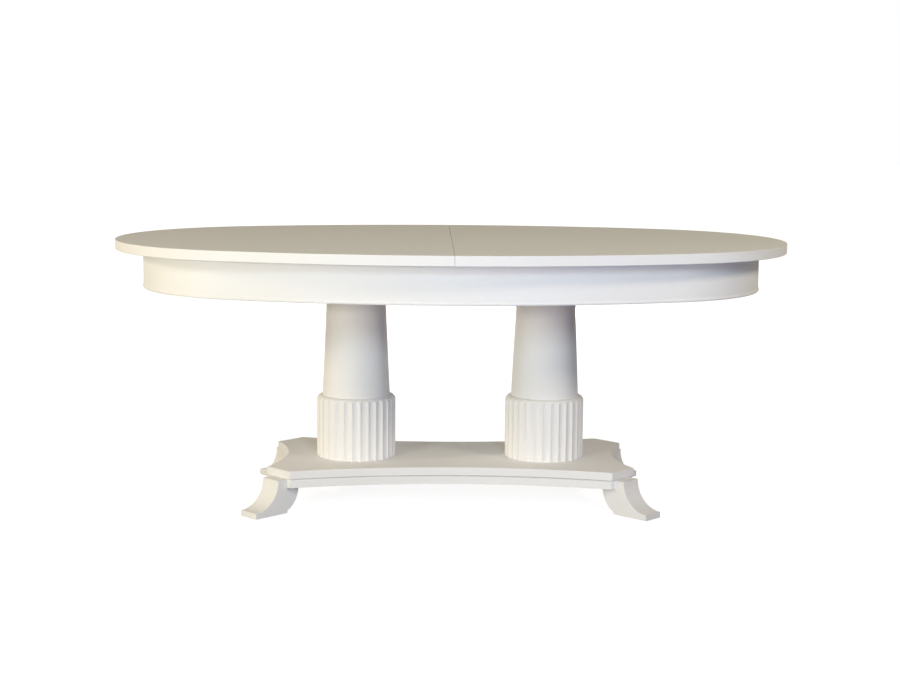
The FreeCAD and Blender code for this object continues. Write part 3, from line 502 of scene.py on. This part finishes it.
def dress_node(node: str, finish: Finish) -> None:
    """Gives a piece of the frame, by its name there, one finish all over."""
    dress(frame["nodes"][node], finish)
    log.info("%s finished in %s", node, finish.value.name)


def pick_piece(piece: bpy.types.Object) -> None:
    """Leaves one piece selected and active.

    Args:
        piece: The piece.
    """
    bpy.ops.object.select_all(action="DESELECT")
    piece.select_set(True)
    bpy.context.view_layer.objects.active = piece


@contextmanager
def edited(piece: bpy.types.Object, element: Element) -> Iterator[None]:
    """Opens a piece in edit mode with all of it picked, and closes it again.

    Args:
        piece: The piece to edit.
        element: The kind of element that the steps inside pick.

    Returns:
        Nothing to hold: the steps inside work on what is picked.
    """
    pick_piece(piece)
    bpy.ops.object.mode_set(mode="EDIT")
    bpy.ops.mesh.select_mode(type=element.value)
    bpy.ops.mesh.select_all(action="SELECT")
    yield
    bpy.ops.object.mode_set(mode="OBJECT")


def pick(piece: bpy.types.Object, element: Element, wanted: Callable[[Picked], bool]) -> None:
    """Picks some elements of a piece that is open in edit mode, and no others.

    Args:
        piece: The piece being edited.
        element: The kind of element to pick.
        wanted: The test that an element has to pass.
    """
    bpy.ops.mesh.select_mode(type=element.value)
    bpy.ops.mesh.select_all(action="DESELECT")
    mesh = bmesh.from_edit_mesh(piece.data)
    for item in element.of(mesh):
        if wanted(item):
            item.select_set(True)
    mesh.select_flush_mode()
    bmesh.update_edit_mesh(piece.data)


def is_arris(edge: bmesh.types.BMEdge) -> bool:
    """Tells whether an edge stands out sharply."""
    return edge.is_manifold and edge.is_convex and edge.calc_face_angle() > ARRIS


def ease(node: str, width: float, finish: Finish) -> bpy.types.Object:
    """Stands a copy with eased arrises in for a piece of the frame.

    Args:
        node: The piece's name in the frame.
        width: How much the arrises are taken back.
        finish: The copy's finish.

    Returns:
        The copy.
    """
    source = frame["nodes"][node]
    piece = bpy.data.objects.new(f"{node}_eased", source.data.copy())
    bpy.context.scene.collection.objects.link(piece)
    with edited(piece, Element.EDGE):
        bpy.ops.mesh.customdata_custom_splitnormals_clear()
        bpy.ops.mesh.remove_doubles(threshold=WELD)
        bpy.ops.mesh.dissolve_limited(angle_limit=FLAT)
        pick(piece, Element.EDGE, is_arris)
        bpy.ops.mesh.bevel(
            offset=width, segments=EASING_STEPS, affect="EDGES", clamp_overlap=True
        )
    bpy.ops.object.shade_smooth_by_angle(angle=ARRIS)
    dress(piece, finish)
    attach(piece, *body_of(source))
    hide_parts(node)
    finish.slot
    log.info("%s eased and finished in %s", node, finish.value.name)
    return piece


def middle(node: str) -> Vector:
    """Returns the middle of a frame piece's box."""
    low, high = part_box(node)
    return (low + high) / 2


@dataclass(frozen=True)
class Spot:
    """Where a screw is driven: a place on a surface and the way that surface faces."""

    at: Vector
    facing: Vector = DOWN


@dataclass(frozen=True)
class Screw:
    """A cross-recessed screw, of which the head shows.

    The crown's steps are shares of the dome's rise, each with its share of the width below it.
    The cross is a share of the crown's width. The corners between its arms, told by the sine of
    their doubled angle, are drawn in to a share of their distance from the middle, and the slack
    makes sure of finding them. The taper is the recess's share of width at its bottom.
    """

    name: str
    radius: float
    rim: float
    dome: float
    recess: float
    sides: int = 16
    crown: tuple[Pair, ...] = ((0.6, 0.88), (0.4, 0.8))
    cross: float = 0.62
    corners: tuple[tuple[Pair, float], ...] = (((0.9, 1.1), 0.42), ((0.5, 0.9), 0.74))
    slack: float = 1.01
    taper: float = 0.7
    turn: float = 2.4

    def model(self) -> bpy.types.Object:
        """Models one head at the origin, facing up.

        Returns:
            The head.
        """
        bpy.ops.object.select_all(action="DESELECT")
        bpy.ops.mesh.primitive_circle_add(vertices=self.sides, radius=self.radius, fill_type="NGON")
        head = bpy.context.object
        head.name = self.name
        with edited(head, Element.FACE):
            self.raise_face(self.rim, 1.0)
            for rise, share in self.crown:
                self.raise_face(rise * self.dome, share)
            self.raise_face(0.0, self.cross)
            for sines, share in self.corners:
                self.pinch(head, sines, share)
            pick(head, Element.FACE, self.is_cross)
            self.raise_face(-self.recess, self.taper)
            bpy.ops.mesh.select_all(action="SELECT")
            bpy.ops.mesh.normals_make_consistent(inside=False)
        return head

    @staticmethod
    def raise_face(rise: float, share: float) -> None:
        """Extrudes the picked face upward and scales its outline."""
        bpy.ops.mesh.extrude_region_move(TRANSFORM_OT_translate={"value": (0.0, 0.0, rise)})
        bpy.ops.transform.resize(value=(share, share, 1.0), center_override=(0.0, 0.0, 0.0))

    @staticmethod
    def is_cross(face: bmesh.types.BMFace) -> bool:
        """Tells whether a face looks up from the middle of the head."""
        return face.normal.z > UPWARD and face.calc_center_median().xy.length < WELD

    def pinch(self, head: bpy.types.Object, sines: Pair, share: float) -> None:
        """Draws corners between the arms of the cross in.

        Args:
            head: The head being edited.
            sines: Least and greatest sine of the doubled angle of the corners.
            share: What is left of their distance from the middle.
        """
        low, high = sines
        flat = self.radius * math.prod(width for _, width in self.crown)
        reach = flat * self.cross * self.slack

        def between(point: bmesh.types.BMVert) -> bool:
            """Tells whether a point of the cross lies between its arms.

            Args:
                point: A point of the head.

            Returns:
                Whether it is drawn in.
            """
            x, y, z = point.co
            sine = abs(math.sin(2.0 * math.atan2(y, x)))
            return z > self.rim and point.co.xy.length < reach and low < sine < high

        pick(head, Element.POINT, between)
        bpy.ops.transform.resize(value=(share, share, 1.0), center_override=(0.0, 0.0, 0.0))

    def drive(self, name: str, body: str, spots: Sequence[Spot]) -> None:
        """Drives a copy of the screw at every spot.

        Args:
            name: The name of the set.
            body: The body of the frame that they are driven into.
            spots: Where they go.
        """
        pattern = self.model()
        heads = []
        for number, spot in enumerate(spots):
            pick_piece(pattern)
            bpy.ops.object.duplicate(linked=False)
            head = bpy.context.object
            lean = spot.facing.to_track_quat("Z", "Y").to_matrix()
            turned = lean @ Matrix.Rotation(number * self.turn, 3, "Z")
            head.data.transform(Matrix.Translation(spot.at) @ turned.to_4x4())
            heads.append(head)
        bpy.data.objects.remove(pattern)
        bpy.ops.object.select_all(action="DESELECT")
        for head in heads:
            head.select_set(True)
        bpy.context.view_layer.objects.active = heads[0]
        bpy.ops.object.join()
        screws = bpy.context.object
        screws.name = name
        bpy.ops.object.shade_smooth_by_angle(angle=ARRIS)
        dress(screws, Finish.ZINC)
        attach(screws, body)
        Finish.ZINC.slot
        log.info("%s: %d screws driven", name, len(heads))


WOOD_SCREW = Screw("wood_screw", radius=4.2 * MM, rim=0.5 * MM, dome=0.9 * MM, recess=1.1 * MM)
SMALL_SCREW = Screw("small_screw", radius=2.3 * MM, rim=0.3 * MM, dome=0.5 * MM, recess=0.6 * MM)
FLUSH_SCREW = Screw("flush_screw", radius=3.2 * MM, rim=0.12 * MM, dome=0.1 * MM, recess=0.18 * MM)


@dataclass
class TableTop:
    """The two halves of the oval top with the pins in their seam."""

    def build(self) -> None:
        """Finishes the halves and their pins."""
        for side in Side:
            dress_node(f"top_half_{side}", Finish.PAINT_ALONG)
            dress_node(f"seam_pins_{side}", Finish.BRASS)


@dataclass
class Apron:
    """The bent apron with its bead, splice blocks and glide buttons."""

    block_arris: float = 1.0 * MM
    block_count: int = 4
    inward: float = -0.9
    screw_spread: float = 45.0 * MM
    screw_rise: float = 20.0 * MM

    def build(self) -> None:
        """Finishes the lengths of the apron and what is fixed to them."""
        for length in ApronLength:
            dress_node(f"apron_{length}", Finish.PAINT_ALONG)
            dress_node(f"apron_bead_{length}", Finish.PAINT_ALONG)
        dress_node("apron_glides", Finish.NYLON)
        blocks = ease("apron_splice_blocks", self.block_arris, Finish.POPLAR_UPRIGHT)
        WOOD_SCREW.drive("splice_block_screws", "base", self.block_spots(blocks))

    def block_spots(self, blocks: bpy.types.Object) -> list[Spot]:
        """Finds four spots on the inner face of every splice block.

        The inner faces are the largest of those that look at the middle of the table.

        Args:
            blocks: All the blocks, as one piece.

        Returns:
            The spots.
        """
        inner = [
            face
            for face in sorted(blocks.data.polygons, key=lambda face: face.area)
            if face.normal.xy.dot(face.center.xy.normalized()) < self.inward
        ]
        spots = []
        for face in inner[-self.block_count:]:
            along = face.normal.cross(DOWN)
            for step in BOTH_WAYS:
                for rise in BOTH_WAYS:
                    shift = along * step * self.screw_spread + DOWN * rise * self.screw_rise
                    spots.append(Spot(face.center + shift, face.normal))
        return spots


@dataclass
class Pedestals:
    """The two columns with their drums and tie rods."""

    nut_arris: float = 0.8 * MM

    def build(self) -> None:
        """Finishes the columns and the rods that clamp them."""
        for side in Side:
            dress_node(f"fluted_drum_{side}", Finish.PAINT_UPRIGHT)
            dress_node(f"column_shaft_{side}", Finish.PAINT_UPRIGHT)
        dress_node("tie_rods", Finish.ZINC)
        dress_node("tie_rod_washers", Finish.ZINC)
        ease("tie_rod_nuts", self.nut_arris, Finish.ZINC)


@dataclass
class Plinth:
    """The two boards under the columns and the four feet."""

    screw_places: tuple[Pair, ...] = ((0.13, 0.07), (0.39, 0.06))

    def build(self) -> None:
        """Finishes the boards, the feet and their glides."""
        for board in ("plinth_upper_board", "plinth_lower_board"):
            dress_node(board, Finish.PAINT_ALONG)
        for corner in Corner:
            dress_node(f"foot_{corner}", Finish.PAINT_UPRIGHT)
        dress_node("foot_dowels", Finish.BEECH_ALONG)
        dress_node("floor_glides", Finish.NYLON)
        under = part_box("plinth_lower_board")[0].z
        spots = [
            Spot(Vector((along * x, across * y, under)))
            for x, y in self.screw_places
            for along in BOTH_WAYS
            for across in BOTH_WAYS
        ]
        WOOD_SCREW.drive("plinth_screws", "base", spots)


@dataclass
class SlideBase:
    """The fixed bearers that carry the apron and guide the runners."""

    arris: float = 1.0 * MM
    bracket_arris: float = 0.4 * MM
    bearer_screws: float = 35.0 * MM
    bracket_screws: float = 36.0 * MM

    def build(self) -> None:
        """Finishes the bearers, the pinions and their brackets."""
        for side in Side:
            ease(f"cross_bearer_{side}", self.arris, Finish.POPLAR_ACROSS)
        ease("spine_bearer", self.arris, Finish.POPLAR_ALONG)
        for row in Row:
            ease(f"slide_bearer_{row}", self.arris, Finish.BEECH_ALONG)
            dress_node(f"pinion_{row}", Finish.NYLON)
        ease("pinion_brackets", self.bracket_arris, Finish.ZINC)
        self.screws()

    def screws(self) -> None:
        """Drives the screws under the bearers and the brackets."""
        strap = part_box("pinion_brackets")[0].z
        bearer_spots, bracket_spots = [], []
        for row in Row:
            across = middle(f"slide_bearer_{row}").y
            for step in BOTH_WAYS:
                bracket_spots.append(Spot(Vector((step * self.bracket_screws, across, strap))))
                for side in Side:
                    bearer = f"cross_bearer_{side}"
                    along = middle(bearer).x + step * self.bearer_screws
                    bearer_spots.append(Spot(Vector((along, across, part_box(bearer)[0].z))))
        WOOD_SCREW.drive("bearer_screws", "base", bearer_spots)
        WOOD_SCREW.drive("bracket_screws", "base", bracket_spots)


@dataclass
class Carriage:
    """What slides with one half of the top: cleats, runners, racks and stop pegs.

    The screws of a cleat are places across the table, and those of a rack are shares of its
    length.
    """

    side: Side
    arris: float = 1.0 * MM
    stagger: float = 15.0 * MM
    cleat_screws: tuple[float, ...] = (-0.11, -0.04, 0.04, 0.11)
    rack_screws: tuple[float, ...] = (0.06, 0.35, 0.65, 0.94)
    rack_margin: float = 3.3 * MM

    def build(self) -> None:
        """Finishes the pieces under one half and screws them together."""
        for cleat in CleatPlace:
            ease(f"cleat_{self.side}_{cleat}", self.arris, Finish.BEECH_ACROSS)
        for runner in RunnerPlace:
            ease(f"runner_{self.side}_{runner}", self.arris, Finish.BEECH_ALONG)
            dress_node(f"rack_{self.side}_{runner}", Finish.ZINC)
        dress_node(f"stop_pegs_{self.side}", Finish.BEECH_ACROSS)
        body = f"top_{self.side}"
        WOOD_SCREW.drive(f"cleat_screws_{self.side}", body, self.cleat_spots())
        WOOD_SCREW.drive(f"runner_screws_{self.side}", body, self.runner_spots())
        SMALL_SCREW.drive(f"rack_screws_{self.side}", body, self.rack_spots())

    def cleat_spots(self) -> list[Spot]:
        """Finds spots in two staggered rows under every cleat.

        Returns:
            The spots.
        """
        spots = []
        for cleat in CleatPlace:
            node = f"cleat_{self.side}_{cleat}"
            for number, across in enumerate(self.cleat_screws):
                along = middle(node).x + self.stagger * (-1) ** number
                spots.append(Spot(Vector((along, across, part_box(node)[0].z))))
        return spots

    def runner_spots(self) -> list[Spot]:
        """Finds two spots under the runners for every cleat.

        Returns:
            The spots.
        """
        spots = []
        for runner in RunnerPlace:
            node = f"runner_{self.side}_{runner}"
            for cleat in CleatPlace:
                for step in BOTH_WAYS:
                    along = middle(f"cleat_{self.side}_{cleat}").x + step * self.stagger
                    spots.append(Spot(Vector((along, middle(node).y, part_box(node)[0].z))))
        return spots

    def rack_spots(self) -> list[Spot]:
        """Finds spots along the back of the racks, away from the teeth.

        Returns:
            The spots.
        """
        spots = []
        for runner in RunnerPlace:
            low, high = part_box(f"rack_{self.side}_{runner}")
            row = Row.FRONT if low.y < 0.0 else Row.BACK
            pinion = middle(f"pinion_{row}").y
            across = low.y + self.rack_margin if low.y < pinion else high.y - self.rack_margin
            for share in self.rack_screws:
                along = low.x + share * (high.x - low.x)
                spots.append(Spot(Vector((along, across, low.z))))
        return spots


@dataclass
class TableLock:
    """One lock across the seam: plate, lever and keeper."""

    row: Row
    arris: float = 0.3 * MM
    screw_margin: float = 5.5 * MM
    plate_thickness: float = 3.0 * MM

    def build(self) -> None:
        """Finishes the lock and screws it to the top."""
        for part in ("lock_plate", "lock_lever", "lock_keeper"):
            ease(f"{part}_{self.row}", self.arris, Finish.ZINC)
        for part in ("lock_plate", "lock_keeper"):
            node = f"{part}_{self.row}"
            body = body_of(frame["nodes"][node])[0]
            FLUSH_SCREW.drive(f"{node}_screws", body, self.corner_spots(node))

    def corner_spots(self, node: str) -> list[Spot]:
        """Finds spots in the corners of a plate, on its lower face.

        Args:
            node: The plate's name in the frame.

        Returns:
            The spots.
        """
        low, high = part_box(node)
        face = high.z - self.plate_thickness
        return [
            Spot(Vector((x, y, face)))
            for x in (low.x + self.screw_margin, high.x - self.screw_margin)
            for y in (low.y + self.screw_margin, high.y - self.screw_margin)
        ]


def seen_rays(tree: bpy.types.NodeTree) -> Socket:
    """Returns 1 on the rays that show the background, and 0 on those that light the table.

    Args:
        tree: The node tree that asks.

    Returns:
        The grey output.
    """
    path = tree.nodes.new("ShaderNodeLightPath")
    shown = path.outputs["Is Camera Ray"]
    for ray in ("Is Glossy Ray", "Is Transmission Ray"):
        either = tree.nodes.new("ShaderNodeMath")
        either.operation = "MAXIMUM"
        tree.links.new(shown, either.inputs[0])
        tree.links.new(path.outputs[ray], either.inputs[1])
        shown = either.outputs[0]
    return shown


@dataclass(frozen=True)
class Lamp:
    """A square soft box that stands round the table and faces its middle.

    Its bearing from the front and its height are degrees. One that isn't mirrored lights the
    table without showing in the sheen of the paint.
    """

    name: str
    bearing: float
    height: float
    watts: float
    tint: Colour
    aim: Triple = (0.0, 0.0, 0.4)
    distance: float = 4.8
    size: float = 0.7
    mirrored: bool = True

    def place(self) -> None:
        """Adds the soft box to the scene."""
        data = bpy.data.lights.new(self.name, "AREA")
        data.size = self.size
        data.energy = self.watts
        data.color = self.tint
        lamp = bpy.data.objects.new(self.name, data)
        around, up = math.radians(self.bearing), math.radians(self.height)
        away = Vector(
            (math.sin(around) * math.cos(up), -math.cos(around) * math.cos(up), math.sin(up))
        )
        lamp.location = Vector(self.aim) + self.distance * away
        lamp.rotation_euler = away.to_track_quat("Z", "Y").to_euler()
        lamp.visible_glossy = self.mirrored
        bpy.context.scene.collection.objects.link(lamp)
        log.info("%s lamp placed", self.name)


LAMPS = (
    Lamp("key", bearing=-34.0, height=8.0, watts=99.0, tint=(1.0, 0.97, 0.82)),
    Lamp("front", bearing=10.0, height=20.0, watts=54.0, tint=(0.69, 0.86, 1.0)),
    Lamp("fill", bearing=14.0, height=6.0, watts=6.0, tint=(0.05, 0.18, 1.0), distance=2.4),
    Lamp("right", bearing=50.0, height=30.0, watts=56.0, tint=(1.0, 0.9, 0.76)),
    Lamp("left", bearing=-75.0, height=20.0, watts=50.0, tint=(1.0, 0.86, 0.73)),
    Lamp("above", bearing=0.0, height=88.0, watts=12.0, tint=(0.78, 0.95, 1.0)),
    Lamp(
        "back_left", bearing=-150.0, height=3.0, watts=72.0, tint=(0.95, 0.97, 1.0), mirrored=False
    ),
    Lamp("back", bearing=170.0, height=0.0, watts=56.0, tint=(0.95, 0.97, 1.0), mirrored=False),
)


@dataclass
class Studio:
    """Camera, soft boxes, a warm grey surround and a pale floor.

    The camera's angles are radians, and its focal length counts pixels of the photograph.
    """

    photo_width: float = 900.0
    focal_pixels: float = 1667.909
    sensor: float = 36.0
    eye: Triple = (-0.074719, -4.833919, 1.132344)
    yaw: float = 0.0150
    pitch: float = 0.14322
    roll: float = 0.0077
    floor_size: float = 60.0
    floor_colour: Colour = (0.36, 0.36, 0.36)
    floor_roughness: float = 0.9
    # The floor's glow runs from the first lift near the table to the second far off: a painted
    # shade round the table.
    floor_lift: Pair = (0.86, 1.0)
    floor_fade: Pair = (1.0, 3.5)
    ambient: Colour = (0.145, 0.102, 0.022)

    def build(self) -> None:
        """Puts up the camera, the light and the floor."""
        self.camera()
        for lamp in LAMPS:
            lamp.place()
        self.sky()
        self.floor()
        bpy.context.scene.view_settings.view_transform = "Standard"

    def camera(self) -> None:
        """Sets the camera at the photograph's viewing point."""
        forward = Vector(
            (
                math.sin(self.yaw) * math.cos(self.pitch),
                math.cos(self.yaw) * math.cos(self.pitch),
                -math.sin(self.pitch),
            )
        )
        right = Vector((math.cos(self.yaw), -math.sin(self.yaw), 0.0))
        above = right.cross(forward)
        turned_right = math.cos(self.roll) * right + math.sin(self.roll) * above
        turned_above = math.cos(self.roll) * above - math.sin(self.roll) * right
        data = bpy.data.cameras.new("camera")
        data.sensor_width = self.sensor
        data.lens = self.focal_pixels * self.sensor / self.photo_width
        camera = bpy.data.objects.new("camera", data)
        turn = Matrix((turned_right, turned_above, -forward)).transposed()
        camera.matrix_world = Matrix.Translation(self.eye) @ turn.to_4x4()
        bpy.context.scene.collection.objects.link(camera)
        bpy.context.scene.camera = camera

    def sky(self) -> None:
        """Lights the table by a warm grey surround, and shows white behind it."""
        world = bpy.data.worlds.new("surround")
        world.use_nodes = True
        bpy.context.scene.world = world
        tree = world.node_tree
        shown = tree.nodes["Background"]
        shown.inputs["Color"].default_value = opaque(WHITE)
        room = tree.nodes.new("ShaderNodeBackground")
        room.inputs["Color"].default_value = opaque(self.ambient)
        mix = tree.nodes.new("ShaderNodeMixShader")
        tree.links.new(seen_rays(tree), mix.inputs["Fac"])
        tree.links.new(room.outputs[0], mix.inputs[1])
        tree.links.new(shown.outputs[0], mix.inputs[2])
        tree.links.new(mix.outputs[0], tree.nodes["World Output"].inputs["Surface"])

    def floor(self) -> None:
        """Lays a pale floor that shows white, with painted shade near the table, and keeps its
        shadow.
        """
        bpy.ops.mesh.primitive_plane_add(size=self.floor_size)
        floor = bpy.context.object
        floor.name = "floor"
        shader = Shader("pale_floor")
        tree = shader.tree
        shader.set(base_color=opaque(self.floor_colour), roughness=self.floor_roughness)
        away = shader.node("VectorMath", operation="LENGTH", vector=shader.place(UNSCALED))
        near, far = self.floor_fade
        low, high = self.floor_lift
        # Painted shade: the glow that camera and glossy rays see is weaker near the table than far
        # off, so the floor is darker round the table.
        painted_shade_fade = shader.node(
            "MapRange",
            value=away.outputs["Value"],
            from_min=near,
            from_max=far,
            to_min=low,
            to_max=high,
        )
        lift = shader.node("Emission", color=opaque(WHITE), strength=painted_shade_fade.outputs["Result"])
        both = tree.nodes.new("ShaderNodeAddShader")
        mix = tree.nodes.new("ShaderNodeMixShader")
        tree.links.new(shader.surface.outputs[0], both.inputs[0])
        tree.links.new(lift.outputs[0], both.inputs[1])
        tree.links.new(seen_rays(tree), mix.inputs["Fac"])
        tree.links.new(shader.surface.outputs[0], mix.inputs[1])
        tree.links.new(both.outputs[0], mix.inputs[2])
        tree.links.new(mix.outputs[0], tree.nodes["Material Output"].inputs["Surface"])
        floor.data.materials.append(shader.material)


def main() -> None:
    """Builds the table's looks, piece by piece, and the studio round it."""
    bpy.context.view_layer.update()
    sub_assemblies = [TableTop(), Apron(), Pedestals(), Plinth(), SlideBase()]
    sub_assemblies += [Carriage(side) for side in Side]
    sub_assemblies += [TableLock(row) for row in Row]
    for sub_assembly in sub_assemblies:
        sub_assembly.build()
    Studio().build()


if __name__ == "__main__":
    main()
